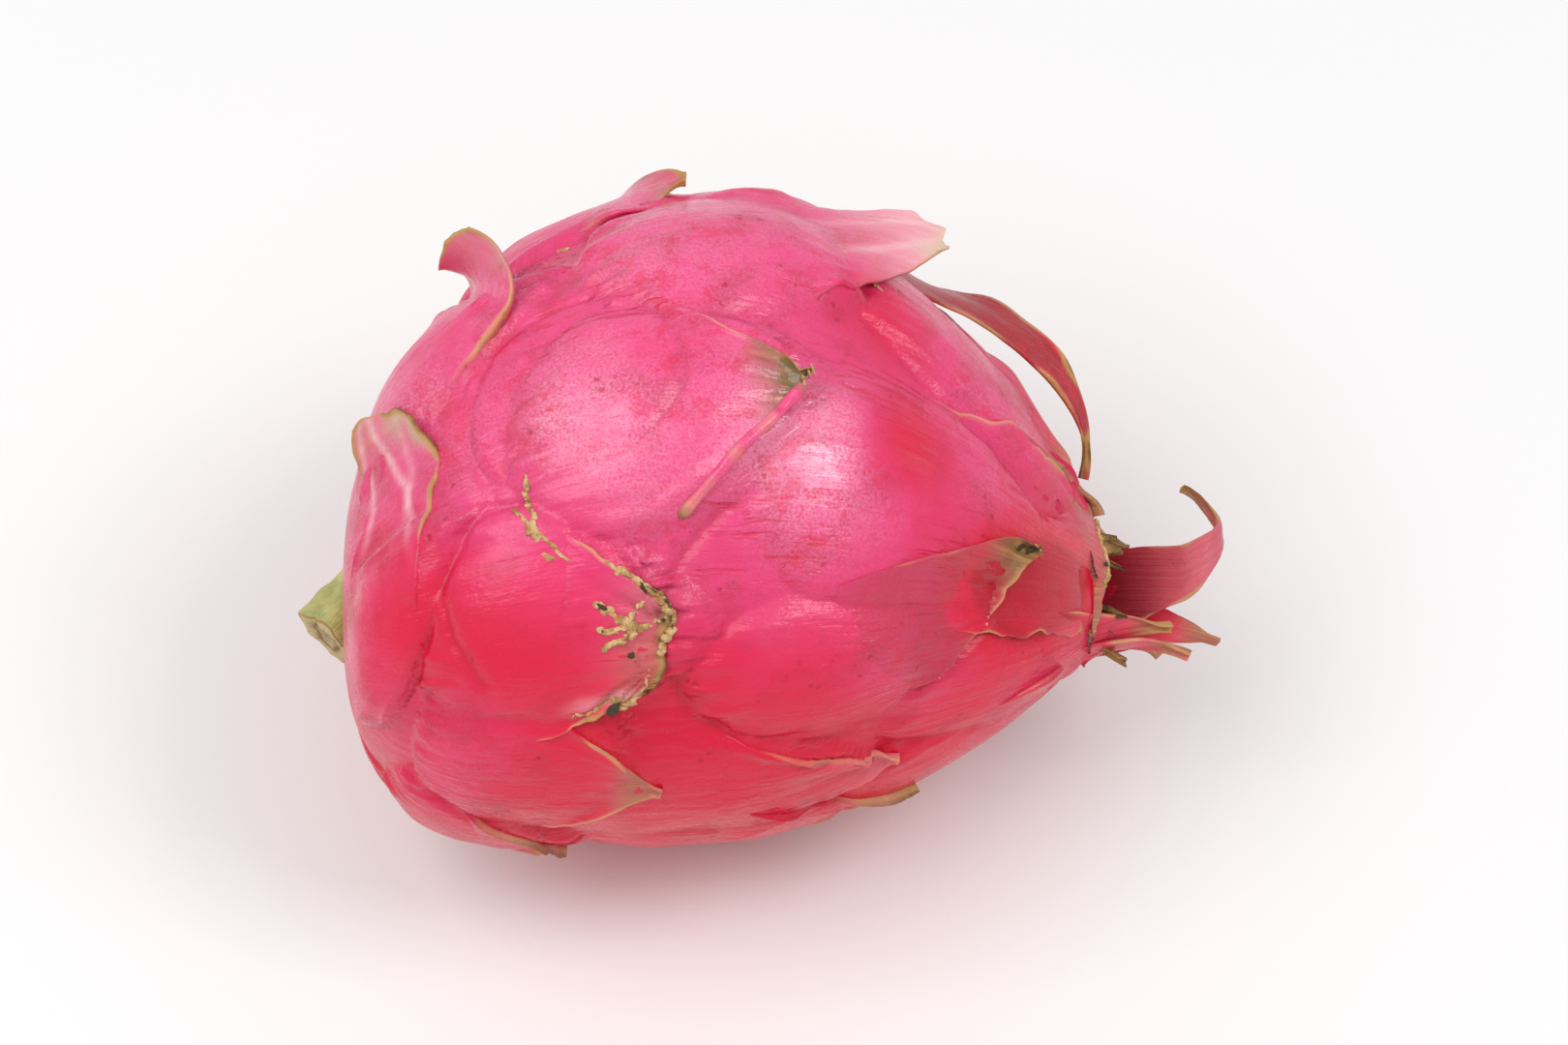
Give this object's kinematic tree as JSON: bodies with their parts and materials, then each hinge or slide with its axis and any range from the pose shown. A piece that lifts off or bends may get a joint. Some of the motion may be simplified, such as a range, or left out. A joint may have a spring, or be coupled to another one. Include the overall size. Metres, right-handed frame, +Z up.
{
  "type": "dragon fruit",
  "caption": "Whole red dragon fruit lying on its side, with leathery scales, a cut stalk stub and the withered flower in its end.",
  "frame": {"origin": "middle of the small flat spot that the fruit lies on, at the height of the surface", "axes": "+X from the stalk to the flower end, along the fruit; +Y to the back; +Z up"},
  "size_m": [0.1325, 0.0965, 0.0942],
  "materials": {
    "skin": "semi-gloss waxy fruit skin with tan scale tips",
    "stalk": "waxy green stem with a woody cut",
    "dry_flower": "dry, papery and matt"
  },
  "bodies": {
    "root": {"fruit": "skin", "stalk": "stalk", "flower_remains": "dry_flower"}
  },
  "joints": []
}
